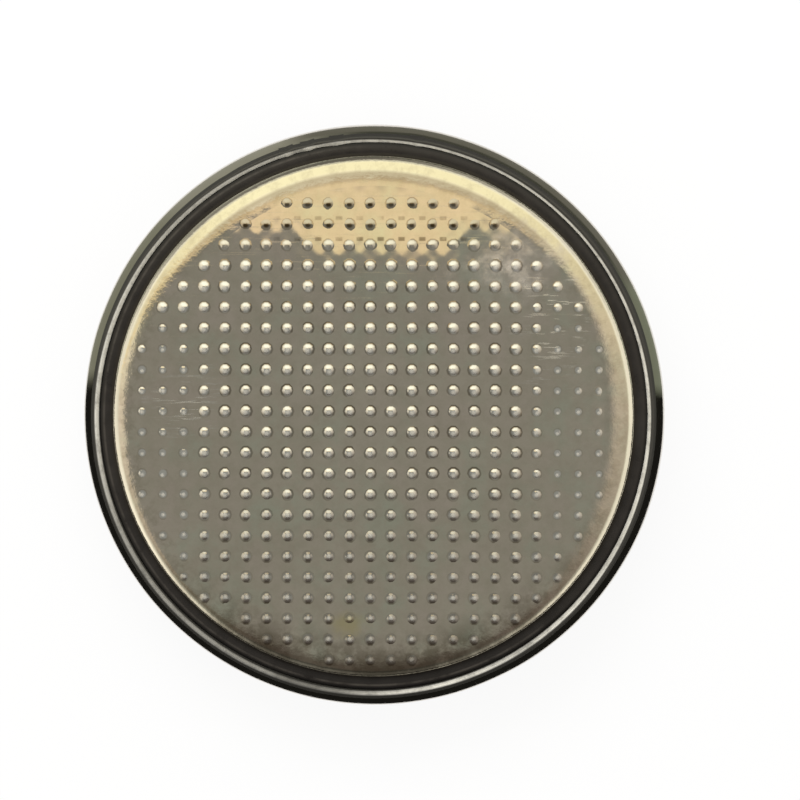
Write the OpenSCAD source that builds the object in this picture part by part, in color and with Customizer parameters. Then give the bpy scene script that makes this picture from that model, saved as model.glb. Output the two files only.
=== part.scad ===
// Lithium coin cell, 20 mm across and 3.2 mm thick, with its negative cap upwards.
// The origin is the centre of the positive face, and +Z points out of the negative face.

/* [Cell] */
// Outside diameter of the can
cell_d = 20; // [18:0.1:30]
// Overall height, from the positive face to the tops of the dots
cell_h = 3.2; // [3:0.05:5.4]

/* [Positive can] */
// Thickness of the can's sheet
can_t = 0.25; // [0.2:0.01:0.3]
// Outside radius of the can's bottom corner
can_corner_r = 0.75; // [0.5:0.05:1]
// Depth below the negative face at which the wall starts to bend inwards
crimp_depth = 1.4; // [1.3:0.05:1.5]
// Outside radius of the crimp
crimp_r = 1.55; // [1.5:0.01:1.7]
// Angle through which the crimp turns the wall inwards
crimp_angle = 45; // [42:1:52]

/* [Negative cap] */
// Thickness of the cap's sheet
cap_t = 0.25; // [0.2:0.01:0.3]
// Outside radius of the shoulder between the face and the neck
shoulder_r = 0.65; // [0.5:0.01:0.65]
// Width of the ledge from the neck to the skirt
ledge_w = 0.6; // [0.55:0.01:0.7]
// Depth of the ledge below the face
ledge_depth = 0.85; // [0.82:0.01:0.95]
// Radius of the throat between the neck and the ledge
throat_r = 0.15; // [0.1:0.01:0.16]
// Outside radius of the rim between the ledge and the skirt
rim_r = 0.35; // [0.32:0.01:0.38]

/* [Dots on the cap] */
// Distance between the centres of neighbouring dots
dot_pitch = 0.71; // [0.68:0.01:0.9]
// Diameter of a dot where it leaves the face
dot_d = 0.42; // [0.3:0.01:0.46]
// Height of a dot above the face
dot_h = 0.05; // [0.03:0.005:0.07]
// Diameter of the round field that the dots fill
field_d = 16.7; // [10:0.1:17]
// How far the field lies off the cell's axis, along X
field_x = -0.17; // [-0.3:0.01:0.3]
// How far the field lies off the cell's axis, along Y
field_y = -0.35; // [-0.5:0.01:0.5]
// How far the grid's own crossing lies off the cell's axis, along X
grid_x = -0.09; // [-0.35:0.01:0.35]
// How far the grid's own crossing lies off the cell's axis, along Y
grid_y = 0.2; // [-0.35:0.01:0.35]
// Steepest turn of the shoulder that still carries dots, in degrees
dot_turn = 33; // [20:1:40]

/* [Gasket] */
// Thickness of the gasket between the can's wall and the cap's skirt
gasket_wall = 0.3; // [0.25:0.01:0.35]
// Thickness of the gasket under the cap's skirt
gasket_floor = 0.35; // [0.3:0.01:0.45]
// Thickness of the lip that the gasket turns up inside the skirt
gasket_lip_t = 0.3; // [0.2:0.01:0.4]
// Height of that lip above the skirt's edge
gasket_lip_h = 0.6; // [0.3:0.05:0.8]
// Radius of the bead that shows between the cap and the can
bead_r = 0.6; // [0.55:0.01:0.65]
// Depth of the bead's top below the negative face
bead_depth = 0.45; // [0.42:0.01:0.48]

/* [Electrodes] */
// Thickness of the lithium disc
lithium_t = 0.6; // [0.4:0.05:0.7]
// How far the lithium disc's edge lies inside the pellet's edge
lithium_inset = 0.2; // [0.1:0.05:0.6]
// Thickness of the separator
separator_t = 0.15; // [0.1:0.01:0.25]
// Depth of the separator's rim, which hangs round the pellet
separator_rim = 0.8; // [0.4:0.05:0.8]
// Gap round the separator, which the electrolyte fills
fill_gap = 0.67; // [0.5:0.01:0.9]
// Clearance between the cathode ring and the separator's rim
rim_gap = 0.03; // [0.02:0.01:0.1]
// Thickness of the cathode ring's sheet
ring_t = 0.15; // [0.1:0.01:0.2]
// Height of the cathode ring's wall
ring_h = 0.9; // [0.5:0.05:1]
// Width of the cathode ring's flange, under the pellet
ring_flange = 0.7; // [0.5:0.05:1.5]
// Chamfer on the pellet's top edge
pellet_chamfer = 0.12; // [0.05:0.01:0.15]

/* [Hidden] */
$fn = 72;

// Levels, from the positive face upwards
face_z = cell_h - dot_h;
wall_top_z = face_z - crimp_depth;
ledge_z = face_z - ledge_depth;
skirt_z = can_t + gasket_floor;
lithium_z = face_z - cap_t - lithium_t;
separator_z = lithium_z - separator_t;

// Radii, from the can inwards
can_r = cell_d / 2;
crimp_c = can_r - crimp_r;
skirt_r = can_r - can_t - gasket_wall;
neck_r = skirt_r - ledge_w;
flat_r = neck_r - shoulder_r;
gasket_in_r = skirt_r - cap_t - gasket_lip_t;
separator_r = gasket_in_r - fill_gap;
ring_r = separator_r - separator_t - rim_gap;
pellet_r = ring_r - ring_t;

// The crimp's inner edge, and the bead between it and the neck
lip_r = crimp_c + (crimp_r - can_t) * cos(crimp_angle);
bead_c = [(neck_r + lip_r) / 2, face_z - bead_depth - bead_r];

// A dot is the top of a ball, on a straight root that is a little wider and ends inside the sheet
ball_r = (pow(dot_d / 2, 2) + pow(dot_h, 2)) / (2 * dot_h);
dot_root = 0.6 * cap_t;
root_r = dot_d / 2 + 0.1 * cap_t;

// A rectangle from its lower left corner to its upper right one
module block(low, high) {
    translate(low) square(high - low);
}

// A quarter of a disc in the quadrant that side points to, such as [1, -1] for the lower right
module quarter(centre, r, side) {
    translate(centre) intersection() {
        circle(r);
        translate([min(side[0], 0), min(side[1], 0)] * r) square(r);
    }
}

// The filled section of the can, taken in by inset from its outside all round
module can_form(inset) {
    block([0, inset], [can_r - can_corner_r, wall_top_z]);
    block([can_r - can_corner_r, can_corner_r], [can_r - inset, wall_top_z]);
    quarter([can_r - can_corner_r, can_corner_r], can_corner_r - inset, [1, -1]);
    quarter([crimp_c, wall_top_z], crimp_r - inset, [1, 1]);
}

// What lies past the end of the crimp, where the can's sheet was cut
module past_the_crimp() {
    reach = 2 * crimp_r;
    translate([crimp_c, wall_top_z]) polygon([
        [0, 0],
        [reach * cos(crimp_angle), reach * sin(crimp_angle)],
        [0, reach]
    ]);
}

// The filled section of the cap above its skirt's edge, taken in by inset from its outside
module cap_form(inset) {
    throat = [neck_r + throat_r, ledge_z + throat_r];
    rim = [skirt_r - rim_r, ledge_z - rim_r];
    shoulder = [flat_r, face_z - shoulder_r];
    difference() {
        union() {
            block([0, skirt_z], [rim[0], ledge_z - inset]);
            block([rim[0], skirt_z], [skirt_r - inset, rim[1]]);
            block([0, ledge_z - inset], [neck_r - inset, shoulder[1]]);
            block([neck_r - inset, ledge_z - inset], throat);
            block([0, shoulder[1]], [flat_r, face_z - inset]);
            quarter(rim, rim_r - inset, [1, 1]);
            quarter(shoulder, shoulder_r - inset, [1, 1]);
        }
        quarter(throat, throat_r + inset, [-1, -1]);
    }
}

// The space in which the gasket lies before the cap is pressed into it
module gasket_reach() {
    block([gasket_in_r, can_t], [can_r, ledge_z]);
    translate(bead_c) circle(bead_r);
}

// The drawn steel cup, crimped over the gasket
module positive_can() {
    color("darkgray") rotate_extrude() difference() {
        can_form(0);
        can_form(can_t);
        past_the_crimp();
    }
}

// How far the shoulder has turned down from the face at a radius, in degrees
function turn_at(r) = r <= flat_r ? 0 : asin(min((r - flat_r) / shoulder_r, 1));

// One dot, standing on the origin
module dot() {
    rotate_extrude() intersection() {
        translate([0, dot_h - ball_r]) circle(ball_r);
        block([0, -dot_root], [root_r, dot_h]);
    }
}

// A dot at a place on the face, or on the shoulder square to its surface
module place_dot(place) {
    r = norm(place);
    turn = turn_at(r);
    surface_r = min(r, flat_r) + shoulder_r * sin(turn);
    surface_z = face_z - shoulder_r * (1 - cos(turn));
    rotate(atan2(place[1], place[0])) translate([surface_r, 0, surface_z]) rotate([0, turn, 0]) dot();
}

// The square grid of dots that the press leaves in a round field
module dots() {
    reach = ceil((field_d / 2 + norm([field_x, field_y])) / dot_pitch) + 1;
    for (i = [-reach : reach], j = [-reach : reach]) {
        place = [grid_x, grid_y] + [i, j] * dot_pitch;
        in_field = norm(place - [field_x, field_y]) <= field_d / 2;
        if (in_field && turn_at(norm(place)) < dot_turn) place_dot(place);
    }
}

// The stepped steel cup with the dotted face
module negative_cap() {
    color("tan") union() {
        rotate_extrude() difference() {
            cap_form(0);
            cap_form(cap_t);
        }
        dots();
    }
}

// The plastic seal, squeezed between the can and the cap and turned up inside the skirt
module gasket() {
    color("dimgray") rotate_extrude() union() {
        difference() {
            intersection() {
                can_form(can_t);
                gasket_reach();
            }
            cap_form(0);
        }
        block([gasket_in_r, skirt_z], [skirt_r - cap_t, skirt_z + gasket_lip_h]);
    }
}

// The disc of lithium, pressed against the inside of the cap
module lithium_anode() {
    color("silver") translate([0, 0, lithium_z]) cylinder(h = lithium_t, r = pellet_r - lithium_inset);
}

// The porous sheet between the electrodes, with its rim folded down round the pellet
module separator() {
    inside_r = separator_r - separator_t;
    color("white") rotate_extrude() union() {
        block([0, separator_z], [inside_r, lithium_z]);
        block([inside_r, separator_z - separator_rim], [separator_r, separator_z]);
        quarter([inside_r, separator_z], separator_t, [1, 1]);
    }
}

// The pressed tablet of manganese dioxide, stepped for the ring's flange
module cathode_pellet() {
    color("black") rotate_extrude() polygon([
        [0, can_t],
        [ring_r - ring_flange, can_t],
        [ring_r - ring_flange, can_t + ring_t],
        [pellet_r, can_t + ring_t],
        [pellet_r, separator_z - pellet_chamfer],
        [pellet_r - pellet_chamfer, separator_z],
        [0, separator_z]
    ]);
}

// The angled steel ring that holds the pellet and carries its current to the can
module cathode_ring() {
    color("gray") translate([0, 0, can_t]) rotate_extrude() union() {
        block([ring_r - ring_flange, 0], [ring_r, ring_t]);
        block([pellet_r, ring_t], [ring_r, ring_h]);
    }
}

positive_can();
negative_cap();
gasket();
lithium_anode();
separator();
cathode_pellet();
cathode_ring();
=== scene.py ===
import math
import random
from types import SimpleNamespace

import bmesh
import bpy
from mathutils import Matrix, Vector, noise


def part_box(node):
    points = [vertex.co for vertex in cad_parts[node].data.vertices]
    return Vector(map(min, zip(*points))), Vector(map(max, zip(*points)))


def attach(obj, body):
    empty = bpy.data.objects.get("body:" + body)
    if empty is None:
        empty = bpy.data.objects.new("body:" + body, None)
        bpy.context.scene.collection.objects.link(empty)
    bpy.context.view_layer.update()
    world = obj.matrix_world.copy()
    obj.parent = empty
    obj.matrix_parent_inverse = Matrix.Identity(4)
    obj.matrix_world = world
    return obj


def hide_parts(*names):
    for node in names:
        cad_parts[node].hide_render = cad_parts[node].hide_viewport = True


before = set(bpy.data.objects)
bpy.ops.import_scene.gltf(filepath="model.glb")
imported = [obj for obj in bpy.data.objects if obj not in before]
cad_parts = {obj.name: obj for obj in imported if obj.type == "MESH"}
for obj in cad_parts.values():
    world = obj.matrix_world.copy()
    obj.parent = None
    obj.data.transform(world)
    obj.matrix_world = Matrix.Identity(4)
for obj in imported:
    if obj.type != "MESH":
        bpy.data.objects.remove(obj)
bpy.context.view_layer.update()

# The positive can is a cup drawn from thin nickel-plated steel sheet. Its wall is crimped
# inwards over the seal, so the sheet's sheared end shows as a thin ring of bare steel, which
# carries a painted highlight. A plus sign is stamped in the face that the cell lies on, and
# painted shade darkens it.
MM = 0.001
CAN_SHEET = 0.25 * MM
CAN_CORNER_R = 0.75 * MM
CRIMP_R = 1.55 * MM
CRIMP_ANGLE = 45
WALL_TOP = 1.75 * MM
LIP_OUTER_R = 0.08 * MM
LIP_INNER_R = 0.05 * MM
LATHE_STEPS = 240


def draw_line(bm, pen, x, z):
    """Extends a section from its last vertex with a straight line, and returns the new last vertex."""
    end = bmesh.ops.extrude_vert_indiv(bm, verts=[pen])["verts"][0]
    end.co = (x, 0, z)
    return end


def draw_arc(bm, pen, x, z, turn, steps=10):
    """Extends a section with an arc about a centre. A positive turn goes from +X towards +Z."""
    angle = math.radians(turn)
    arc = bmesh.ops.spin(bm, geom=[pen], cent=(x, 0, z), axis=(0, -1, 0), angle=angle, steps=steps)
    return arc["geom_last"][0]


def lathe(bm, steps=LATHE_STEPS):
    """Turns the section that has no faces yet round Z into a closed surface that faces outwards."""
    section = [part for part in bm.verts[:] + bm.edges[:] if not part.link_faces]
    axis = (0, 0, 1)
    bmesh.ops.spin(bm, geom=section, cent=(0, 0, 0), axis=axis, angle=math.tau, steps=steps, use_merge=True)
    bmesh.ops.remove_doubles(bm, verts=bm.verts, dist=1e-8)
    bmesh.ops.recalc_face_normals(bm, faces=bm.faces)


_, can_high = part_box("positive_can")
can_r = can_high.x
crimp_c = can_r - CRIMP_R
inner_r = CRIMP_R - CAN_SHEET


def on_crimp(reach, angle):
    """The place at a distance and an angle from the centre of the crimp's curve."""
    turn = math.radians(angle)
    return Vector((crimp_c + reach * math.cos(turn), 0, WALL_TOP + reach * math.sin(turn)))


outer_back = math.degrees(math.asin(LIP_OUTER_R / (CRIMP_R - LIP_OUTER_R)))
inner_back = math.degrees(math.asin(LIP_INNER_R / (inner_r + LIP_INNER_R)))
outer_c = on_crimp(CRIMP_R - LIP_OUTER_R, CRIMP_ANGLE - outer_back)
inner_c = on_crimp(inner_r + LIP_INNER_R, CRIMP_ANGLE - inner_back)
square_to_cut = Vector((-math.sin(math.radians(CRIMP_ANGLE)), 0, math.cos(math.radians(CRIMP_ANGLE))))
cut_end = inner_c + square_to_cut * LIP_INNER_R
lip_middle = on_crimp(CRIMP_R - CAN_SHEET / 2, CRIMP_ANGLE)

section = bmesh.new()
pen = section.verts.new((0, 0, 0))
pen = draw_line(section, pen, can_r - CAN_CORNER_R, 0)
pen = draw_arc(section, pen, can_r - CAN_CORNER_R, CAN_CORNER_R, 90)
pen = draw_line(section, pen, can_r, WALL_TOP)
pen = draw_arc(section, pen, crimp_c, WALL_TOP, CRIMP_ANGLE - outer_back, 16)
pen = draw_arc(section, pen, outer_c.x, outer_c.z, 90 + outer_back, 5)
pen = draw_line(section, pen, cut_end.x, cut_end.z)
pen = draw_arc(section, pen, inner_c.x, inner_c.z, 90 - inner_back, 4)
lip_in = pen.co.copy()
pen = draw_arc(section, pen, crimp_c, WALL_TOP, inner_back - CRIMP_ANGLE, 16)
pen = draw_line(section, pen, can_r - CAN_SHEET, CAN_CORNER_R)
pen = draw_arc(section, pen, can_r - CAN_CORNER_R, CAN_CORNER_R, -90)
pen = draw_line(section, pen, 0, CAN_SHEET)
lathe(section)

# The crimping tool leaves the turned-in wall a little wavy, and nicks in the sheared end. A
# nick is given by its angle in degrees and its depth in millimetres.
CRIMP_START = WALL_TOP + 0.03 * MM
CRIMP_WAVE = 0.012 * MM
WAVES_PER_METRE = 450
NICKS = [(97, 0.060), (99.5, 0.030), (104, 0.072), (108, 0.042), (81, 0.030), (121, 0.024)]
NICK_WIDTH = 0.9
NICK_REACH = 0.35 * MM

for vert in section.verts:
    if vert.co.z < CRIMP_START:
        continue
    far = math.hypot(vert.co.x, vert.co.y)
    turn = math.degrees(math.atan2(vert.co.y, vert.co.x))
    wave = noise.noise(Vector((vert.co.x, vert.co.y, 0)) * WAVES_PER_METRE) * CRIMP_WAVE
    at_lip = max(0.0, 1 - abs(vert.co.z - lip_middle.z) / NICK_REACH)
    nick = sum(depth * math.exp(-((turn - angle) / NICK_WIDTH) ** 2) for angle, depth in NICKS) * MM
    inward = wave - nick * at_lip
    vert.co.x += vert.co.x / far * inward
    vert.co.y += vert.co.y / far * inward

NICKEL = (0.66, 0.61, 0.53, 1)
NICKEL_DULL = (0.50, 0.46, 0.38, 1)
SCRATCHES = [
    (12, 260, 14000, 0.665), (64, 420, 15000, 0.67), (-38, 380, 15000, 0.675), (101, 500, 15000, 0.68),
]
SCRATCH_DEPTH = 0.0015 * MM


def set_inputs(tree, node, inputs):
    """Gives a shader node's inputs plain values, or the sockets that they are linked from."""
    for name, value in inputs.items():
        if isinstance(value, bpy.types.NodeSocket):
            tree.links.new(value, node.inputs[name])
        else:
            node.inputs[name].default_value = value


def add(tree, kind, inputs=None, **settings):
    """Adds a shader node with its settings and its inputs."""
    node = tree.nodes.new(kind)
    for name, value in settings.items():
        setattr(node, name, value)
    set_inputs(tree, node, inputs or {})
    return node


def ramp(tree, factor, low, high, from_value=0.0, to_value=1.0):
    """Maps a factor from the range low to high onto another range, held at its ends."""
    inputs = {"Value": factor, "From Min": low, "From Max": high, "To Min": from_value, "To Max": to_value}
    return add(tree, "ShaderNodeMapRange", inputs).outputs["Result"]


def combine(tree, operation, first, second=0.0):
    """Works out a factor from one or two others."""
    return add(tree, "ShaderNodeMath", {0: first, 1: second}, operation=operation).outputs[0]


def overlap(tree, first, *others):
    """A mask that is 1 only where every given mask is."""
    for mask in others:
        first = combine(tree, "MULTIPLY", first, mask)
    return first


def either(tree, first, *others):
    """A mask that is as high as the highest of the given ones."""
    for mask in others:
        first = combine(tree, "MAXIMUM", first, mask)
    return first


def band(tree, value, rise, fall):
    """A mask that rises to 1 over one range of a value and falls back to 0 over a later one."""
    return overlap(tree, ramp(tree, value, rise[0], rise[1]), ramp(tree, value, fall[1], fall[0]))


def speckle(tree, place, scale, detail, roughness):
    """An uneven, cloudy pattern, as a factor."""
    inputs = {"Vector": place, "Scale": scale, "Detail": detail, "Roughness": roughness}
    return add(tree, "ShaderNodeTexNoise", inputs).outputs["Fac"]


def scratches(tree, place, angle, length_scale, width_scale, threshold):
    """A mask that is 1 on fine straight scratches at an angle. A higher threshold leaves fewer of them."""
    turned = add(tree, "ShaderNodeMapping", {
        "Vector": place,
        "Rotation": (0, 0, math.radians(angle)),
        "Scale": (length_scale, width_scale, width_scale),
    }).outputs["Vector"]
    inputs = {"Vector": turned, "Scale": 1.0, "Detail": 2.0, "Roughness": 0.6, "Distortion": 0.4}
    lines = add(tree, "ShaderNodeTexNoise", inputs).outputs["Fac"]
    return ramp(tree, lines, threshold, threshold + 0.05)


def mixed(tree, factor, first, second):
    """Blends two colours, each a plain colour or a socket. Inputs 6 and 7 and output 2 are the colours'."""
    return add(tree, "ShaderNodeMix", {0: factor, 6: first, 7: second}, data_type="RGBA").outputs[2]


def from_the_axis(tree, place):
    """The distance from Z."""
    flat = add(tree, "ShaderNodeVectorMath", {0: place, 1: (1, 1, 0)}, operation="MULTIPLY")
    return add(tree, "ShaderNodeVectorMath", {0: flat.outputs["Vector"]}, operation="LENGTH").outputs["Value"]


def tinted(levels, tint):
    """Turns pairs of an angle and a level into stops of an angle and a colour of one tint."""
    return [(angle, tuple(level * part for part in tint)) for angle, level in levels]


def round_the_axis(tree, place, stops):
    """A colour for each angle round Z, from stops of an angle from -180 to 180 degrees and a colour."""
    turn = add(tree, "ShaderNodeTexGradient", {"Vector": place}, gradient_type="RADIAL").outputs["Fac"]
    node = add(tree, "ShaderNodeValToRGB", {"Fac": turn})
    elements = node.color_ramp.elements
    while len(elements) < len(stops):
        elements.new(0.5)
    for element, (angle, colour) in zip(elements, stops):
        element.position = (angle + 180) / 360
        element.color = (*colour, 1)
    return node.outputs["Color"]


def relief(tree, height, depth, strength=1.0, over=None, sunk=False):
    """The normal of a raised or sunk pattern of a depth, over another normal where one is given."""
    inputs = {"Height": height, "Strength": strength, "Distance": depth}
    if over is not None:
        inputs["Normal"] = over
    return add(tree, "ShaderNodeBump", inputs, invert=sunk).outputs["Normal"]


def start_material(name):
    """A material with its tree, its shader and the piece's own coordinates in metres."""
    material = bpy.data.materials.new(name)
    material.use_nodes = True
    tree = material.node_tree
    place = add(tree, "ShaderNodeTexCoord").outputs["Object"]
    return material, tree, tree.nodes["Principled BSDF"], place


def plated_steel(name, colour, dull_colour, roughness):
    """Bright metal, faintly clouded, with fine scratches that lie in several directions."""
    material, tree, shader, place = start_material(name)
    cloud = speckle(tree, place, 380, 5, 0.62)
    speck = speckle(tree, place, 1500, 4, 0.7)
    tone = mixed(tree, ramp(tree, cloud, 0.38, 0.75, 0, 0.38), colour, dull_colour)
    tone = mixed(tree, ramp(tree, speck, 0.5, 0.8, 0, 0.22), tone, dull_colour)
    lines = either(tree, *[scratches(tree, place, *scratch) for scratch in SCRATCHES])
    rough = ramp(tree, speck, 0.35, 0.75, roughness, roughness * 2)
    rough = combine(tree, "ADD", rough, ramp(tree, lines, 0, 1, 0, 0.1))
    normal = relief(tree, lines, SCRATCH_DEPTH, 0.04, sunk=True)
    set_inputs(tree, shader, {"Base Color": tone, "Roughness": rough, "Normal": normal, "Metallic": 1.0})
    return SimpleNamespace(
        material=material, tree=tree, shader=shader, place=place, tone=tone, rough=rough, normal=normal)


# A near-black used as painted shade, inside the stamped plus and beside the can's light line.
PAINTED_SHADE_DARK = (0.045, 0.043, 0.038, 1)
PLUS_Y = 4.0 * MM
PLUS_ARM = 2.0 * MM
PLUS_STROKE = 0.3 * MM
PLUS_SOFT = 0.03 * MM
PLUS_DEPTH = 0.02 * MM
PLUS_SHADE = 0.5
PLUS_TOP = (0.2 * MM, 0.1 * MM)

can_plate = plated_steel("can_nickel_plate", NICKEL, NICKEL_DULL, 0.09)
tree = can_plate.tree
axes = add(tree, "ShaderNodeSeparateXYZ", {"Vector": can_plate.place}).outputs
across = combine(tree, "ABSOLUTE", axes["X"])
along = combine(tree, "ABSOLUTE", combine(tree, "SUBTRACT", axes["Y"], PLUS_Y))
bars = []
for long_way, short_way in ((across, along), (along, across)):
    in_length = ramp(tree, long_way, PLUS_ARM + PLUS_SOFT, PLUS_ARM - PLUS_SOFT)
    in_width = ramp(tree, short_way, PLUS_STROKE + PLUS_SOFT, PLUS_STROKE - PLUS_SOFT)
    bars.append(overlap(tree, in_length, in_width))
plus = overlap(tree, either(tree, *bars), ramp(tree, axes["Z"], *PLUS_TOP))
# Painted shade darkens the inside of the stamped plus.
set_inputs(tree, can_plate.shader, {
    "Base Color": mixed(tree, overlap(tree, plus, PLUS_SHADE), can_plate.tone, PAINTED_SHADE_DARK),
    "Normal": relief(tree, plus, PLUS_DEPTH, over=can_plate.normal, sunk=True),
})

# The sheared end is bare steel where the light line runs. The line carries a painted highlight whose
# brightness is set for each angle round the cell, and painted shade lies beside it. The line
# drifts off the cell's axis. Its painted highlight is dimmest on the -Y side, and it is patchily
# duller along its length.
SHEARED_STEEL_LIT = (0.96, 0.94, 0.87, 1)
LIP_DRIFT = (-0.028 * MM, -0.052 * MM, 0)
LIP_FACING = -0.14
LIGHT_LINE = ((9.375 * MM, 9.405 * MM), (9.505 * MM, 9.545 * MM))
PLAIN = (1, 1, 1)
# Levels of the painted highlight on the light line, at angles round the cell.
LIP_PAINTED_HIGHLIGHT = [
    (-180, 0.82), (-165, 0.50), (-150, 0.32), (-113, 0.28), (-108, 0.14), (-97, 0.20), (-88, 0.62),
    (-75, 0.85), (-60, 0.60), (-45, 0.85), (-30, 0.70), (-15, 0.95), (0, 1.00), (80, 1.00),
    (95, 0.85), (108, 0.68), (135, 0.70), (155, 0.85), (180, 0.82),
]

sheared, tree, shader, place = start_material("can_sheared_edge")
grit = speckle(tree, place, 2600, 4, 0.7)
drifted = add(tree, "ShaderNodeVectorMath", {0: place, 1: LIP_DRIFT}, operation="SUBTRACT")
far_out = from_the_axis(tree, drifted.outputs["Vector"])
lit_bare_line = overlap(
    tree,
    band(tree, far_out, *LIGHT_LINE),
    round_the_axis(tree, place, tinted(LIP_PAINTED_HIGHLIGHT, PLAIN)),
    ramp(tree, grit, 0.3, 0.55, 0.55, 1))
set_inputs(tree, shader, {
    "Base Color": mixed(tree, lit_bare_line, PAINTED_SHADE_DARK, SHEARED_STEEL_LIT),
    "Roughness": ramp(tree, grit, 0.3, 0.7, 0.34, 0.55),
    "Metallic": 0.35,
})

SHARP_ANGLE = math.radians(32)


def finish_piece(bm, name, materials):
    """Makes the mesh an object that is smooth apart from its sharp corners."""
    mesh = bpy.data.meshes.new(name)
    bm.to_mesh(mesh)
    bm.free()
    mesh.shade_smooth()
    mesh.set_sharp_from_angle(angle=SHARP_ANGLE)
    for material in materials:
        mesh.materials.append(material)
    piece = bpy.data.objects.new(name, mesh)
    bpy.context.scene.collection.objects.link(piece)
    return piece


can_piece = finish_piece(section, "crimped_can", [can_plate.material, sheared])
for face in can_piece.data.polygons:
    outwards = Vector((face.center.x, face.center.y, 0)).normalized()
    facing = square_to_cut.x * face.normal.dot(outwards) + square_to_cut.z * face.normal.z
    if face.center.z > lip_middle.z - CAN_SHEET / 2 and facing > LIP_FACING:
        face.material_index = 1
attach(can_piece, "root")
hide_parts("positive_can")

# The cathode ring is an angled strip of bare stainless steel, welded into the can. It holds
# the pellet and carries its current. It is sealed inside, so the frame's own solid stays.
RING_STEEL = (0.56, 0.56, 0.55, 1)
RING_DULL = (0.42, 0.42, 0.41, 1)


def dress(node, material):
    """Gives one of the frame's own pieces its finish."""
    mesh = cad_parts[node].data
    mesh.materials.clear()
    mesh.materials.append(material)


dress("cathode_ring", plated_steel("ring_bare_steel", RING_STEEL, RING_DULL, 0.22).material)

# The cathode pellet is manganese dioxide and carbon powder, pressed into a hard black tablet
# that crumbles a little at its edges.
PELLET_BLACK = (0.012, 0.012, 0.013, 1)
PELLET_GREY = (0.06, 0.057, 0.055, 1)
CRUMB_DEPTH = 0.02 * MM

pellet, tree, shader, place = start_material("pellet_black_powder")
crumbs = speckle(tree, place, 9000, 6, 0.7)
set_inputs(tree, shader, {
    "Base Color": mixed(tree, crumbs, PELLET_BLACK, PELLET_GREY),
    "Normal": relief(tree, crumbs, CRUMB_DEPTH, 0.6),
    "Roughness": 0.85,
})
dress("cathode_pellet", pellet)

# The separator is a white sheet of matted plastic fibre that is soaked with electrolyte. It
# lies on the pellet, with its rim folded down.
FIBRE_GREY = (0.70, 0.70, 0.67, 1)
FIBRE_WHITE = (0.90, 0.90, 0.88, 1)
THREAD_DEPTH = 0.01 * MM

separator, tree, shader, place = start_material("separator_fibre")
threads = combine(
    tree, "ADD",
    scratches(tree, place, 30, 1500, 16000, 0.5),
    scratches(tree, place, -50, 1700, 15000, 0.5))
set_inputs(tree, shader, {
    "Base Color": mixed(tree, ramp(tree, threads, 0, 2), FIBRE_GREY, FIBRE_WHITE),
    "Normal": relief(tree, threads, THREAD_DEPTH, 0.4),
    "Roughness": 0.75,
})
dress("separator", separator)

# The anode is a disc punched from soft lithium foil and pressed against the inside of the
# cap. It is silvery, with a dull grey film.
LITHIUM_SILVER = (0.72, 0.72, 0.74, 1)
LITHIUM_FILM = (0.40, 0.40, 0.42, 1)

lithium, tree, shader, place = start_material("lithium_foil")
film = speckle(tree, place, 700, 6, 0.65)
set_inputs(tree, shader, {
    "Base Color": mixed(tree, ramp(tree, film, 0.4, 0.7), LITHIUM_SILVER, LITHIUM_FILM),
    "Roughness": ramp(tree, film, 0.35, 0.7, 0.3, 0.6),
    "Metallic": 0.9,
})
dress("lithium_anode", lithium)

# The gasket is a ring moulded from dark polypropylene. The crimp squeezes it, so it bulges
# as a rounded bead between the cap and the can. A painted sheen line runs round the bead, brighter
# on some sides, and painted shadow darkens the plastic next to the can's lip.
GASKET_LIP = 0.3 * MM
GASKET_LIP_H = 0.6 * MM
GASKET_CORNER_TURN = 82
BEAD_R = 0.6 * MM
BEAD_DEPTH = 0.45 * MM
BEAD_TUCK = 3
CRIMP_TUCK = 1.5
DOT_HEIGHT = 0.05 * MM
CAP_SHEET = 0.25 * MM
NECK_R = 8.93 * MM
LEDGE_DEPTH = 0.85 * MM
RIM_R = 0.35 * MM
SKIRT_BOTTOM = 0.6 * MM
PLASTIC_DARK = (0.010, 0.0086, 0.0078, 1)
PLASTIC_LIGHT = (0.036, 0.031, 0.027, 1)
# Near-black painted shadow beside the lip, and a painted sheen line whose levels are set for angles round the
# cell.
PLASTIC_GAP_SHADOW = (0.003, 0.003, 0.003, 1)
PLASTIC_SHEEN = (0.075, 0.066, 0.055, 1)
SHEEN_RING = ((9.19 * MM, 9.225 * MM), (9.25 * MM, 9.29 * MM))
GAP_SHADOW_EDGE = (9.27 * MM, 9.34 * MM)
SKIN_DEPTH = 0.04 * MM
SHEEN_LEVELS = [
    (-180, 0.6), (-115, 0.5), (-105, 0.9), (-60, 0.8), (-45, 0.0), (90, 0.0), (105, 0.8), (180, 0.6),
]

_, cap_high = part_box("negative_cap")
face_z = cap_high.z - DOT_HEIGHT
skirt_r = cap_high.x
ledge_z = face_z - LEDGE_DEPTH
bead_c = Vector(((NECK_R + lip_in.x) / 2, 0, face_z - BEAD_DEPTH - BEAD_R))
bead_start = math.degrees(math.acos((lip_in.x - bead_c.x) / BEAD_R)) + BEAD_TUCK
bead_end = math.degrees(math.acos((NECK_R - bead_c.x) / BEAD_R))
gasket_in_r = skirt_r - CAP_SHEET - GASKET_LIP

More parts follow.
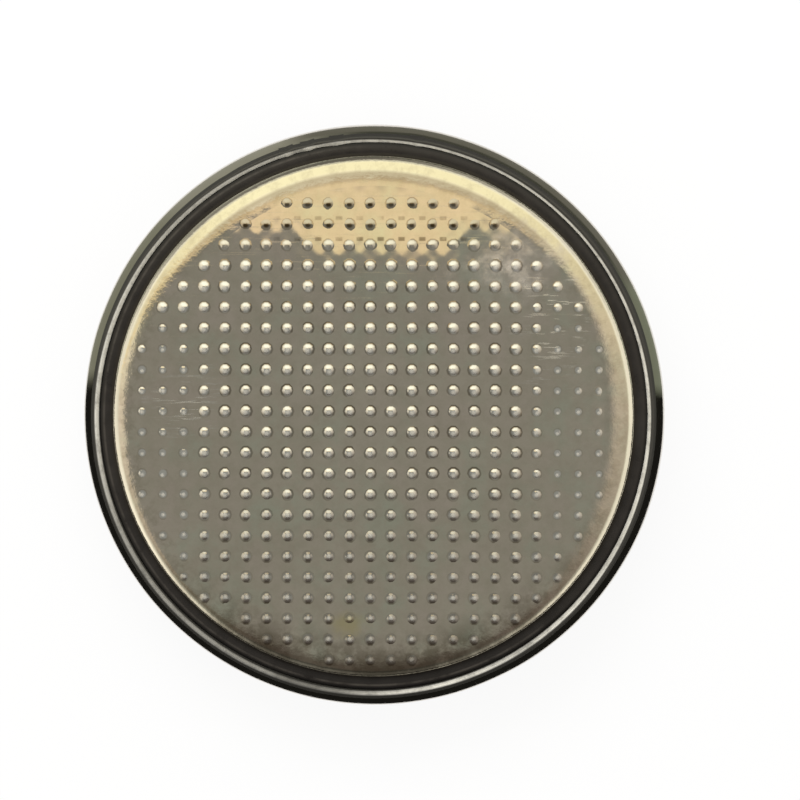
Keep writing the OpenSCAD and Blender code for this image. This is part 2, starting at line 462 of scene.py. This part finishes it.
section = bmesh.new()
first = section.verts.new((gasket_in_r, 0, CAN_SHEET))
pen = draw_line(section, first, can_r - CAN_CORNER_R, CAN_SHEET)
pen = draw_arc(section, pen, can_r - CAN_CORNER_R, CAN_CORNER_R, GASKET_CORNER_TURN)
pen = draw_line(section, pen, can_r - CAN_SHEET, WALL_TOP)
pen = draw_arc(section, pen, crimp_c, WALL_TOP, CRIMP_ANGLE - CRIMP_TUCK, 16)
start = math.radians(bead_start)
pen = draw_line(section, pen, bead_c.x + BEAD_R * math.cos(start), bead_c.z + BEAD_R * math.sin(start))
pen = draw_arc(section, pen, bead_c.x, bead_c.z, bead_end - bead_start, 24)
pen = draw_line(section, pen, NECK_R, ledge_z)
pen = draw_line(section, pen, skirt_r - RIM_R, ledge_z)
pen = draw_arc(section, pen, skirt_r - RIM_R, ledge_z - RIM_R, -90)
pen = draw_line(section, pen, skirt_r, SKIRT_BOTTOM)
pen = draw_line(section, pen, skirt_r - CAP_SHEET, SKIRT_BOTTOM)
pen = draw_line(section, pen, skirt_r - CAP_SHEET, SKIRT_BOTTOM + GASKET_LIP_H)
pen = draw_line(section, pen, gasket_in_r, SKIRT_BOTTOM + GASKET_LIP_H)
section.edges.new((pen, first))
lathe(section)

plastic, tree, shader, place = start_material("gasket_polypropylene")
mottle = speckle(tree, place, 1300, 6, 0.65)
far_out = from_the_axis(tree, place)
# Painted sheen: a thin line on the bead, brighter on some sides of the cell. Painted shadow darkens the
# plastic next to the lip.
painted_sheen = overlap(
    tree,
    band(tree, far_out, *SHEEN_RING),
    round_the_axis(tree, place, tinted(SHEEN_LEVELS, PLAIN)),
    ramp(tree, mottle, 0.35, 0.55))
tone = mixed(tree, mottle, PLASTIC_DARK, PLASTIC_LIGHT)
tone = mixed(tree, ramp(tree, far_out, *GAP_SHADOW_EDGE, 0, 0.75), tone, PLASTIC_GAP_SHADOW)
tone = mixed(tree, overlap(tree, painted_sheen, 0.9), tone, PLASTIC_SHEEN)
set_inputs(tree, shader, {
    "Base Color": tone,
    "Roughness": ramp(tree, mottle, 0.3, 0.7, 0.24, 0.42),
    "Specular IOR Level": 0.25,
    "Normal": relief(tree, mottle, SKIN_DEPTH, 0.25),
})
gasket_piece = finish_piece(section, "seal_ring", [plastic])
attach(gasket_piece, "root")
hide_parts("gasket")

# The negative cap is a stepped cup of nickel-plated steel, drawn from one sheet. Its flat face
# eases into a tight shoulder, and the neck steps out to a ledge and a skirt that the gasket holds.
FLAT_R = 8.05 * MM
EASE_ANGLE = 8
SHOULDER_R = 0.50 * MM
SHOULDER_ANGLE = 50
EDGE_R = 0.12 * MM
THROAT_R = 0.15 * MM

ease = math.radians(EASE_ANGLE)
steep = math.radians(SHOULDER_ANGLE)
edge_x = NECK_R - EDGE_R
shoulder_x = edge_x - (SHOULDER_R - EDGE_R) * math.sin(steep)
ease_end = shoulder_x + SHOULDER_R * math.sin(ease)
ease_r = (ease_end - FLAT_R) / math.sin(ease)
shoulder_z = face_z - ease_r + (ease_r - SHOULDER_R) * math.cos(ease)
edge_z = shoulder_z + (SHOULDER_R - EDGE_R) * math.cos(steep)

section = bmesh.new()
crown_layer = section.verts.layers.float.new("crown")
rub_layer = section.verts.layers.float.new("rubbed")
dot_shade_layer = section.verts.layers.float.new("painted_dot_shade")
top_row_shade_layer = section.verts.layers.float.new("painted_top_row_shade")
pen = section.verts.new((0, 0, face_z))
pen = draw_line(section, pen, FLAT_R / 2, face_z)
pen = draw_line(section, pen, FLAT_R, face_z)
pen = draw_arc(section, pen, FLAT_R, face_z - ease_r, -EASE_ANGLE, 6)
pen = draw_arc(section, pen, shoulder_x, shoulder_z, EASE_ANGLE - SHOULDER_ANGLE, 14)
pen = draw_arc(section, pen, edge_x, edge_z, SHOULDER_ANGLE - 90, 6)
pen = draw_line(section, pen, NECK_R, ledge_z + THROAT_R)
pen = draw_arc(section, pen, NECK_R + THROAT_R, ledge_z + THROAT_R, 90, 6)
pen = draw_line(section, pen, skirt_r - RIM_R, ledge_z)
pen = draw_arc(section, pen, skirt_r - RIM_R, ledge_z - RIM_R, -90, 8)
pen = draw_line(section, pen, skirt_r, SKIRT_BOTTOM)
pen = draw_line(section, pen, skirt_r - CAP_SHEET, SKIRT_BOTTOM)
pen = draw_line(section, pen, skirt_r - CAP_SHEET, ledge_z - RIM_R)
pen = draw_arc(section, pen, skirt_r - RIM_R, ledge_z - RIM_R, 90, 8)
pen = draw_line(section, pen, NECK_R + THROAT_R, ledge_z - CAP_SHEET)
pen = draw_arc(section, pen, NECK_R + THROAT_R, ledge_z + THROAT_R, -90, 6)
pen = draw_line(section, pen, NECK_R - CAP_SHEET, shoulder_z)
pen = draw_arc(section, pen, shoulder_x, shoulder_z, 90, 8)
pen = draw_line(section, pen, FLAT_R, face_z - CAP_SHEET)
pen = draw_line(section, pen, 0, face_z - CAP_SHEET)
lathe(section)

# A press leaves a square grid of small round dots in a round field of the face. Handling has
# flattened them towards the left and right edges. Painted shade lies on, round and below them.
DOT_PITCH = 0.71 * MM
DOT_FOOT_R = 0.215 * MM
DOT_DOME_R = 0.15 * MM
DOT_BALL_R = 0.40 * MM
DOT_SKIRT_R = 0.25 * MM
DOT_SKIRT_DROP = 0.001 * MM
DOT_LIFT = 0.0012 * MM
DOT_SIDES = 10
GRID_X = -0.09 * MM
GRID_Y = 0.20 * MM
FIELD_R = 8.35 * MM
FIELD_X = -0.17 * MM
FIELD_Y = -0.35 * MM
DOT_REACH_R = 8.554 * MM
RUB_R = 0.105 * MM
CROWN_EDGE = (0.16 * MM, 0.21 * MM)
TOP_ROWS = (5.3, 6.5)

plain_verts = set(section.verts)
dome_turn = math.degrees(math.asin(DOT_DOME_R / DOT_BALL_R))
fall = math.radians(dome_turn)
foot_r = (DOT_FOOT_R - DOT_DOME_R) / math.sin(fall)
pen = section.verts.new((0, 0, 0))
pen = draw_arc(section, pen, 0, -DOT_BALL_R, -dome_turn, 3)
foot_c = pen.co + foot_r * Vector((math.sin(fall), 0, math.cos(fall)))
pen = draw_arc(section, pen, foot_c.x, foot_c.z, dome_turn, 2)
dot_low = pen.co.z
pen = draw_line(section, pen, DOT_SKIRT_R, dot_low - DOT_SKIRT_DROP)
lathe(section, DOT_SIDES)
dot_verts = [vert for vert in section.verts if vert not in plain_verts]
dot_faces = {face for vert in dot_verts for face in vert.link_faces}
dot_edges = {edge for vert in dot_verts for edge in vert.link_edges}
dot_pattern = dot_verts + list(dot_edges) + list(dot_faces)
bmesh.ops.translate(section, vec=(0, 0, -dot_low), verts=dot_verts)
bmesh.ops.scale(section, vec=(1, 1, DOT_HEIGHT / -dot_low), verts=dot_verts)


def soft_step(value, low, high):
    """0 below low, 1 above high and a smooth rise between them."""
    part = min(max((value - low) / (high - low), 0), 1)
    return part * part * (3 - 2 * part)


def hump(distance, width):
    """1 at no distance, and a smooth fall to 0 over about twice the width."""
    return math.exp(-(distance / width) ** 2)


def dot_wear(x, y):
    """How far the dots at a place have worn down, from 0 to 1, in millimetres from the centre."""
    top = 0.35 * soft_step(y, *TOP_ROWS)
    low = 0.18 * soft_step(-y, 3.0, 6.5)
    left = 0.68 * soft_step(-x, 5.4, 6.7) * (1 - soft_step(y, 2.6, 4.2))
    right = 0.88 * soft_step(x, 4.9, 6.2)
    right *= (1 - 0.6 * soft_step(y, 2.9, 4.4)) * (1 - 0.5 * soft_step(-y, 2.0, 4.5))
    return 1 - (1 - top) * (1 - low) * (1 - left) * (1 - right)


def dot_shade_at(x, y, high, low, wear):
    """How much painted shade lies at a place on a dot, from 0 to 1, in millimetres from the dot's middle."""
    out = math.hypot(x, y)
    on_top = high * (1 - soft_step(math.hypot(x / 0.135, (y + 0.055) / 0.10), 0.65, 1.15))
    below = (0.1 + 0.9 * low) * hump(y + 0.195, 0.065) * hump(x, 0.13)
    veil = soft_step(out, 0.07, 0.12) * (1 - soft_step(out, 0.165, 0.20)) * soft_step(y, -0.05, 0.05)
    foot = hump(out - 0.205, 0.035) * (0.6 + 0.35 * y / 0.215)
    foot += 0.5 * hump(y + 0.075, 0.09) * hump(abs(x) - 0.15, 0.055)
    foot *= (1 - 0.6 * wear) * (1 - 0.9 * high) * (1 - 0.6 * low)
    return max(on_top, below, 0.6 * low * veil, foot)


chance = random.Random(7)


def press_dot(x, y):
    """Copies the dot to a place on the face, as worn as the dots there are, with the painted shade that they
    get there.
    """
    wear = dot_wear(x / MM, y / MM)
    high = soft_step(y / MM, *TOP_ROWS)
    low = soft_step(-y / MM, 1.5, 4.5)
    uneven = 0.08 + 0.4 * wear
    height = min((1 - wear) * chance.uniform(1 - uneven, 1 + uneven), 1)
    width = (1 - 0.36 * wear) * chance.uniform(0.94, 1.05)
    shade_share = chance.uniform(0.75, 1.05) * (1 - 0.5 * dot_wear(abs(x) / MM, 0))
    rub_x = chance.gauss(0, 0.015) * MM
    rub_y = (-0.055 + 0.085 * low + chance.gauss(0, 0.015)) * MM
    slant_x = Matrix.Rotation(math.radians(chance.gauss(0, 0.7)), 4, "X")
    slant_y = Matrix.Rotation(math.radians(chance.gauss(0, 0.9)), 4, "Y")
    copy = bmesh.ops.duplicate(section, geom=dot_pattern)["geom"]
    new = [part for part in copy if isinstance(part, bmesh.types.BMVert)]
    for vert in new:
        out = math.hypot(vert.co.x, vert.co.y)
        from_rub = math.hypot(vert.co.x - rub_x, vert.co.y - rub_y) / RUB_R
        vert[crown_layer] = (1 - high) * (1 - soft_step(out, *CROWN_EDGE))
        vert[rub_layer] = (1 - high) * max(0, 1 - from_rub ** 2)
        # Painted shade: it dims the whole of each top-row dot, and darkens the feet, undersides and spots of
        # the dots.
        vert[top_row_shade_layer] = 0.6 * high
        vert[dot_shade_layer] = min(1, shade_share * dot_shade_at(vert.co.x / MM, vert.co.y / MM, high, low, wear))
    lean = math.asin(max(math.hypot(x, y) - FLAT_R, 0) / ease_r)
    surface_z = face_z - ease_r * (1 - math.cos(lean))
    spot = Matrix.Translation((x, y, surface_z + DOT_LIFT))
    azimuth = Matrix.Rotation(math.atan2(y, x), 4, "Z")
    turn = azimuth @ Matrix.Rotation(lean, 4, "Y") @ azimuth.inverted()
    size = Matrix.Diagonal((width, width, height, 1))
    bmesh.ops.transform(section, matrix=spot @ turn @ slant_x @ slant_y @ size, verts=new)


reach = math.ceil(FIELD_R / DOT_PITCH) + 1
for row in range(-reach, reach + 1):
    for column in range(-reach, reach + 1):
        x = GRID_X + column * DOT_PITCH
        y = GRID_Y + row * DOT_PITCH
        in_field = math.hypot(x - FIELD_X, y - FIELD_Y) <= FIELD_R
        if in_field and math.hypot(x, y) <= DOT_REACH_R:
            press_dot(x, y)
bmesh.ops.delete(section, geom=dot_verts, context="VERTS")

# The cap's plate is clouded in green and pink. Its shoulder carries a painted warm reflection on
# the +Y side and a painted highlight at its edge. Painted shade lies in a ring near the top, in
# mottled patches round the shoulder and on the top rows' dots. It is rubbed on the dots' crowns
# and hazy at the upper right, with painted shade in torn patches at its lower edge. Short dark
# dashes lie between the top rows of dots.
NICKEL_RUBBED = (0.74, 0.735, 0.72, 1)
TAN_SHADE = (0.36, 0.31, 0.235, 1)
WARM_REFLECTION = (0.67, 0.62, 0.46, 1)
NICKEL_GREEN = (0.60, 0.635, 0.54, 1)
NICKEL_PINK = (0.68, 0.60, 0.545, 1)
SHADE_AND_DASH_BROWN = (0.10, 0.07, 0.035, 1)
RUBBED_GREY = (0.60, 0.57, 0.49, 1)
# A painted highlight at the outer edge of the shoulder.
EDGE_HIGHLIGHT = (0.80, 0.76, 0.66, 1)
HAZE = (0.70, 0.66, 0.64, 1)
STAIN = (0.66, 0.58, 0.27, 1)
HOLLOW_DEPTH = 0.0006 * MM
RIPPLE_DEPTH = 0.012 * MM
DASH_Y = 0.21 * MM
SHADE_RING_SPAN = ((8.02 * MM, 8.30 * MM), (8.36 * MM, 8.46 * MM))
DENT_SHADE_RING = ((7.9 * MM, 8.3 * MM), (8.66 * MM, 8.76 * MM))
TEAR = 0.6

# Patches of the face, each a centre, a half width and a half depth in millimetres, and a softness.
HAZY = (4.8, 5.2, 2.1, 1.4, 1.2)
STAINED = (-0.8, -7.1, 0.9, 0.55, 1.0)
SCUFFED_RIGHT = (6.2, 3.1, 1.6, 2.0, 0.8)
SCUFFED_LEFT = (-6.4, 0.4, 1.5, 1.8, 0.8)

cap_plate = plated_steel("cap_nickel_plate", NICKEL, NICKEL_DULL, 0.035)
tree, place = cap_plate.tree, cap_plate.place
axes = add(tree, "ShaderNodeSeparateXYZ", {"Vector": place}).outputs
far_out = from_the_axis(tree, place)
torn = speckle(tree, place, 1100, 5, 0.65)
mottle = speckle(tree, place, 1900, 5, 0.7)
hue = speckle(tree, place, 520, 6, 0.66)


def attribute(name):
    """A mask that the cap's mesh carries at its vertices."""
    return add(tree, "ShaderNodeAttribute", attribute_name=name).outputs["Fac"]


def patch(x, y, half_width, half_depth, soft):
    """A mask that is 1 at a patch's centre and 0 past a torn ellipse round it."""
    moved = add(tree, "ShaderNodeMapping", {
        "Vector": place,
        "Location": (-x / half_width, -y / half_depth, 0),
        "Scale": (1 / (half_width * MM), 1 / (half_depth * MM), 0),
    }).outputs["Vector"]
    reach = add(tree, "ShaderNodeVectorMath", {0: moved}, operation="LENGTH").outputs["Value"]
    reach = combine(tree, "ADD", reach, ramp(tree, torn, 0.25, 0.75, -TEAR, TEAR))
    return ramp(tree, reach, 1, 1 - soft)


def pitch_wave(axis, start):
    """A wave along an axis that is 1 at a start and at each pitch of the dots from there."""
    phase = combine(tree, "MULTIPLY", combine(tree, "SUBTRACT", axes[axis], start), math.tau / DOT_PITCH)
    return combine(tree, "COSINE", phase)


rub = attribute("rubbed")
haze = overlap(tree, patch(*HAZY), ramp(tree, mottle, 0.3, 0.6))
# Painted shade in torn patches towards the lower edge of the face.
low_edge = overlap(
    tree,
    ramp(tree, axes["Y"], -4.5 * MM, -7.6 * MM),
    ramp(tree, far_out, 7.3 * MM, 8.2 * MM),
    ramp(tree, torn, 0.40, 0.56))
# Short dark dashes between the top rows of dots.
dashes = overlap(
    tree,
    ramp(tree, pitch_wave("X", GRID_X), -0.35, -0.75),
    ramp(tree, pitch_wave("Y", GRID_Y + DASH_Y), 0.72, 0.93),
    ramp(tree, axes["Y"], 5.6 * MM, 5.9 * MM),
    ramp(tree, axes["Y"], 7.1 * MM, 6.0 * MM, 0.25, 0.7),
    ramp(tree, axes["Y"], 7.3 * MM, 7.2 * MM),
    ramp(tree, combine(tree, "ABSOLUTE", axes["X"]), 3.5 * MM, 2.9 * MM),
    ramp(tree, torn, 0.30, 0.50))
# A painted warm reflection on the +Y side of the shoulder.
warm_reflection_side = overlap(tree, ramp(tree, axes["Y"], 0, 6 * MM), ramp(tree, far_out, 8.3 * MM, 8.5 * MM))
# Painted shade in a ring near the top of the shoulder, on the +Y side only.
shade_ring = overlap(
    tree,
    band(tree, far_out, *SHADE_RING_SPAN),
    ramp(tree, axes["Y"], 4.5 * MM, 6.5 * MM, 0, 0.85))
# Painted shade in mottled patches in a ring round the shoulder, for dents.
dent_shade = overlap(tree, band(tree, far_out, *DENT_SHADE_RING), ramp(tree, mottle, 0.46, 0.62))
scuffs = overlap(
    tree,
    either(tree, scratches(tree, place, 33, 900, 9000, 0.60), scratches(tree, place, -52, 800, 9000, 0.60)),
    either(tree, patch(*SCUFFED_RIGHT), patch(*SCUFFED_LEFT)))

tone = cap_plate.tone
# Painted light in this list: the warm reflection, the shade ring and top-row shade, the dent shade, the edge
# highlight, the dot shade and the low-edge shade.
for mask, share, colour in (
        (ramp(tree, hue, 0.50, 0.68), 0.8, NICKEL_GREEN),
        (ramp(tree, hue, 0.50, 0.34), 0.7, NICKEL_PINK),
        (ramp(tree, mottle, 0.42, 0.70), 0.45, NICKEL_DULL),
        (warm_reflection_side, 1, WARM_REFLECTION),
        (either(tree, shade_ring, attribute("painted_top_row_shade")), 1, TAN_SHADE),
        (dent_shade, 0.3, TAN_SHADE),
        (ramp(tree, far_out, 8.70 * MM, 8.80 * MM), 1, EDGE_HIGHLIGHT),
        (attribute("crown"), 1, NICKEL_RUBBED),
        (rub, 0.8, RUBBED_GREY),
        (scuffs, 0.7, NICKEL_RUBBED),
        (haze, 0.75, HAZE),
        (patch(*STAINED), 0.5, STAIN),
        (either(tree, attribute("painted_dot_shade"), dashes), 1, SHADE_AND_DASH_BROWN),
        (low_edge, 0.5, SHADE_AND_DASH_BROWN)):
    tone = mixed(tree, overlap(tree, mask, share), tone, colour)
rough = cap_plate.rough
for mask, added in ((rub, 0.42), (haze, 0.25), (low_edge, 0.1), (scuffs, 0.3)):
    rough = combine(tree, "ADD", rough, overlap(tree, mask, added))
matt = either(tree, rub, overlap(tree, haze, 0.5))
hollows = overlap(tree, pitch_wave("X", GRID_X), pitch_wave("Y", GRID_Y))
pressed = relief(tree, hollows, HOLLOW_DEPTH, over=cap_plate.normal)
ripples = overlap(tree, ramp(tree, far_out, 7.9 * MM, 8.4 * MM), mottle)
set_inputs(tree, cap_plate.shader, {
    "Base Color": tone,
    "Roughness": rough,
    "Metallic": ramp(tree, matt, 0, 1, 1, 0.5),
    "Normal": relief(tree, ripples, RIPPLE_DEPTH, over=pressed),
})
cap_piece = finish_piece(section, "dotted_cap", [cap_plate.material])
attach(cap_piece, "root")
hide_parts("negative_cap")

# The camera looks almost straight down at the dotted face, a hand's length above it and a
# little from the top right. Its shift, in pixels, sets the cell off the picture's middle.
CAMERA_PLACE = Vector((4.5 * MM, 8.5 * MM, 166.85 * MM))
FRAME_WIDTH = 27.33 * MM
SENSOR = 36.0
PICTURE_WIDTH = 800
SHIFT_X = 27.1
SHIFT_Y = 17.3

target = Vector((0, 0, face_z))
camera_data = bpy.data.cameras.new("camera")
camera_data.sensor_width = SENSOR
camera_data.lens = SENSOR * CAMERA_PLACE.length / FRAME_WIDTH
camera_data.shift_x = SHIFT_X / PICTURE_WIDTH
camera_data.shift_y = SHIFT_Y / PICTURE_WIDTH
camera_data.clip_start = 5 * MM
camera = bpy.data.objects.new("camera", camera_data)
bpy.context.scene.collection.objects.link(camera)
camera.location = target + CAMERA_PLACE
camera.rotation_euler = (
    -math.asin(CAMERA_PLACE.y / CAMERA_PLACE.length), math.atan2(CAMERA_PLACE.x, CAMERA_PLACE.z), 0)
bpy.context.scene.camera = camera

# Cards stand round the cell as in a tent for polished metal: one overhead, a round wall and
# two on the table. They are seen in reflections alone, and the metal gets its tones from them.
CARD_HEIGHT = 24 * MM
CARD_REACH = 100 * MM
WALL_BOTTOM = -1 * MM

# Tones at angles round the cell, for rings of the overhead card from its middle outwards. The
# last ring is its rim, and the wall has the same tones.
RIM_TINT = (1, 0.95, 0.82)
FAR_TINT = (1, 0.97, 0.82)
RIM_LEVELS = [
    (-180, 1.00), (-165, 1.10), (-150, 1.25), (-135, 0.95), (-120, 0.24), (-105, 0.14), (-80, 0.14),
    (-62, 0.38), (-47, 1.00), (-15, 0.95), (0, 1.06), (15, 0.96), (30, 0.75), (45, 0.92), (60, 0.50),
    (75, 0.30), (90, 0.17), (105, 0.15), (120, 0.22), (135, 0.30), (150, 0.60), (165, 0.96), (180, 1.00),
]
FAR_LEVELS = [
    (-180, 0.96), (-165, 1.16), (-150, 0.90), (-135, 0.50), (-120, 0.11), (-105, 0.07), (-90, 0.06),
    (-75, 0.10), (-60, 0.22), (-45, 0.46), (-30, 0.77), (-15, 1.04), (0, 1.10), (30, 1.10), (50, 1.15),
    (62, 1.05), (75, 0.84), (90, 0.68), (105, 0.60), (120, 0.74), (135, 0.82), (150, 1.23), (165, 1.12),
    (180, 0.96),
]
NEAR_STOPS = [
    (-180, (1.03, 0.95, 0.76)), (-158, (0.75, 0.68, 0.54)), (-138, (0.34, 0.31, 0.26)),
    (-112, (0.20, 0.175, 0.14)), (-68, (0.20, 0.175, 0.14)), (-42, (0.40, 0.36, 0.30)),
    (-15, (0.55, 0.50, 0.42)), (5, (0.60, 0.54, 0.46)), (30, (0.76, 0.68, 0.54)),
    (60, (0.86, 0.75, 0.54)), (90, (0.92, 0.76, 0.51)), (125, (1.00, 0.88, 0.62)),
    (180, (1.03, 0.95, 0.76)),
]
MIDDLE_STOPS = [
    (-180, (1.03, 0.95, 0.77)), (-155, (0.70, 0.63, 0.50)), (-135, (0.28, 0.25, 0.20)),
    (-115, (0.145, 0.125, 0.105)), (-65, (0.145, 0.125, 0.105)), (-40, (0.36, 0.32, 0.27)),
    (-15, (0.62, 0.56, 0.46)), (10, (0.80, 0.72, 0.58)), (35, (1.02, 0.93, 0.72)),
    (60, (1.38, 1.32, 1.04)), (125, (1.48, 1.44, 1.16)), (150, (1.22, 1.14, 0.88)),
    (180, (1.03, 0.95, 0.77)),
]

# The flat face mirrors a grey part of that card, whose top edge is ragged and notched, and a
# cream strip above it.
GREY = (0.335, 0.330, 0.292, 1)
CREAM = (1.16, 0.97, 0.62, 1)
CREAM_RIGHT = (7 * MM, 4 * MM)
GREY_LEFT = (-16.7 * MM, -16.2 * MM)
GREY_RIGHT_FADE = 3.5 * MM
GREY_LOW_FADE = (7 * MM, 2 * MM)
CARD_EDGE = 0.3 * MM
RAG_DEPTH = 0.4 * MM
RAG_EDGE = 0.15 * MM


def start_card(name):
    """A material that glows, with its tree, the node that makes the glow and the card's coordinates."""
    material = bpy.data.materials.new(name)
    material.use_nodes = True
    tree = material.node_tree
    tree.nodes.clear()
    glow = add(tree, "ShaderNodeEmission")
    add(tree, "ShaderNodeOutputMaterial", {"Surface": glow.outputs["Emission"]})
    return material, tree, glow, add(tree, "ShaderNodeTexCoord").outputs["Object"]


def round_card(name, near, far, material):
    """A card spun round the cell from a line between two points, each a radius and a height."""
    bm = bmesh.new()
    pen = bm.verts.new((near[0], 0, near[1]))
    draw_line(bm, pen, *far)
    line = bm.verts[:] + bm.edges[:]
    bmesh.ops.spin(bm, geom=line, axis=(0, 0, 1), angle=math.tau, steps=96, use_merge=True)
    mesh = bpy.data.meshes.new(name)
    bm.to_mesh(mesh)
    bm.free()
    mesh.materials.append(material)
    card = bpy.data.objects.new(name, mesh)
    bpy.context.scene.collection.objects.link(card)
    card.visible_camera = False
    card.visible_diffuse = False
    card.visible_transmission = False
    card.visible_shadow = False


def seen_at(x, y):
    """The place on the overhead card that the flat face mirrors at a place on the face, in millimetres."""
    lean = CARD_HEIGHT / CAMERA_PLACE.z
    card_x = x * MM * (1 + lean) - CAMERA_PLACE.x * lean
    card_y = y * MM * (1 + lean) - CAMERA_PLACE.y * lean
    return card_x, card_y


overhead, tree, glow, place = start_card("overhead")
axes = add(tree, "ShaderNodeSeparateXYZ", {"Vector": place}).outputs
far_out = from_the_axis(tree, place)
tone = round_the_axis(tree, place, NEAR_STOPS)
for start, end, stops in (
        (8.8, 10.8, MIDDLE_STOPS),
        (34, 50, tinted(FAR_LEVELS, FAR_TINT)),
        (60, 72, tinted(RIM_LEVELS, RIM_TINT))):
    tone = mixed(tree, ramp(tree, far_out, start * MM, end * MM), tone, round_the_axis(tree, place, stops))
ragged = ramp(tree, speckle(tree, place, 700, 4, 0.7), 0.25, 0.75, -RAG_DEPTH, RAG_DEPTH)
left, top_edge = seen_at(-2.4, 6.55)
right, notch = seen_at(2.9, 5.8)
_, cream_end = seen_at(0, 8.1)
right_edge, low_edge = seen_at(7.9, -8.3)
notch_left = (left - CARD_EDGE, left + CARD_EDGE)
notch_right = (right - CARD_EDGE, right + CARD_EDGE)
in_notch = band(tree, axes["X"], notch_left, notch_right)
edge = ramp(tree, in_notch, 0, 1, top_edge, notch)
above = combine(tree, "SUBTRACT", combine(tree, "ADD", axes["Y"], ragged), edge)
in_cream = overlap(
    tree,
    ramp(tree, above, -RAG_EDGE, RAG_EDGE),
    ramp(tree, axes["Y"], cream_end + CARD_EDGE, cream_end - CARD_EDGE),
    ramp(tree, axes["X"], *CREAM_RIGHT))
in_grey = overlap(
    tree,
    ramp(tree, above, RAG_EDGE, -RAG_EDGE),
    ramp(tree, axes["Y"], low_edge - GREY_LOW_FADE[0], low_edge - GREY_LOW_FADE[1]),
    ramp(tree, axes["X"], right_edge + GREY_RIGHT_FADE, right_edge),
    ramp(tree, axes["X"], *GREY_LEFT))
tone = mixed(tree, in_cream, tone, CREAM)
tone = mixed(tree, in_grey, tone, GREY)
set_inputs(tree, glow, {"Color": tone})
card_z = face_z + CARD_HEIGHT
round_card("overhead", (0, card_z), (CARD_REACH, card_z), overhead)


def shaded_card(name, stops):
    """A card's material whose colour changes round the cell."""
    material, tree, glow, place = start_card(name)
    set_inputs(tree, glow, {"Color": round_the_axis(tree, place, stops)})
    return material


TABLE_Z = 0.03 * MM
TABLE_START = 11.2 * MM
TABLE_STEP = 15.0 * MM
BLACK = (0.012, 0.012, 0.011)
SIDE_GREY = (0.285, 0.297, 0.24)
SIDE_LIGHT = (0.38, 0.39, 0.335)
SIDE_OLIVE = (0.245, 0.275, 0.215)
SIDE_DARK = (0.075, 0.08, 0.065)
TOP_NEAR = (0.185, 0.187, 0.16)
LEFT_SIDE = [(133, SIDE_LIGHT), (140, SIDE_GREY), (172, SIDE_GREY), (175, BLACK), (180, BLACK)]

wall = shaded_card("wall", tinted(RIM_LEVELS, RIM_TINT))
table_near = shaded_card("table_near", [
    (-180, BLACK), (3, BLACK), (5, SIDE_OLIVE), (25, SIDE_OLIVE), (29, TOP_NEAR), (103, TOP_NEAR),
    (110, SIDE_LIGHT), *LEFT_SIDE])
table_far = shaded_card("table_far", [
    (-180, BLACK), (3, BLACK), (5, SIDE_OLIVE), (22, SIDE_OLIVE), (34, SIDE_DARK), (92, SIDE_DARK),
    (112, SIDE_LIGHT), *LEFT_SIDE])
round_card("wall", (CARD_REACH, card_z), (CARD_REACH, WALL_BOTTOM), wall)
round_card("table_near", (TABLE_START, TABLE_Z), (TABLE_STEP, TABLE_Z), table_near)
round_card("table_far", (TABLE_STEP, TABLE_Z), (CARD_REACH, TABLE_Z), table_far)

# The floor is white paper. It shows the background's white to the camera and in reflections,
# and a part of the light that falls on it, so the cell keeps its soft shadow.
FLOOR_SIZE = 2.0
FLOOR_WHITE = (0.93, 0.93, 0.93, 1)
WHITE_SHARE = 0.88

paper = bpy.data.materials.new("floor_white")
paper.use_nodes = True
tree = paper.node_tree
tree.nodes.clear()
lit = add(tree, "ShaderNodeBsdfDiffuse", {"Color": FLOOR_WHITE})
white = add(tree, "ShaderNodeEmission", {"Color": (1, 1, 1, 1), "Strength": 1.0})
path = add(tree, "ShaderNodeLightPath").outputs
seen = either(tree, path["Is Camera Ray"], path["Is Glossy Ray"], path["Is Transmission Ray"])
share = overlap(tree, seen, WHITE_SHARE)
both = add(tree, "ShaderNodeMixShader", {0: share, 1: lit.outputs[0], 2: white.outputs[0]})
add(tree, "ShaderNodeOutputMaterial", {"Surface": both.outputs[0]})
sheet = bmesh.new()
bmesh.ops.create_grid(sheet, x_segments=1, y_segments=1, size=FLOOR_SIZE)
mesh = bpy.data.meshes.new("floor")
sheet.to_mesh(mesh)
sheet.free()
mesh.materials.append(paper)
floor = bpy.data.objects.new("floor", mesh)
bpy.context.scene.collection.objects.link(floor)

# The light is a plain, slightly warm room and one soft lamp above and behind the cell, which
# the metal doesn't mirror.
ROOM_TINT = (1, 0.985, 0.95, 1)
ROOM_LEVEL = 0.85
LAMP_PLACE = Vector((-30 * MM, 110 * MM, 110 * MM))
LAMP_WIDTH = 160 * MM
LAMP_DEPTH = 80 * MM
LAMP_POWER = 0.12

world = bpy.data.worlds.new("studio")
world.use_nodes = True
tree = world.node_tree
set_inputs(tree, tree.nodes["Background"], {"Color": ROOM_TINT, "Strength": ROOM_LEVEL})
bpy.context.scene.world = world
lamp_data = bpy.data.lights.new("softbox", "AREA")
lamp_data.shape = "RECTANGLE"
lamp_data.size = LAMP_WIDTH
lamp_data.size_y = LAMP_DEPTH
lamp_data.energy = LAMP_POWER
lamp = bpy.data.objects.new("softbox", lamp_data)
bpy.context.scene.collection.objects.link(lamp)
lamp.location = LAMP_PLACE
lamp.rotation_euler = (target - LAMP_PLACE).to_track_quat("-Z", "Y").to_euler()
lamp.visible_glossy = False
bpy.context.scene.view_settings.view_transform = "Standard"
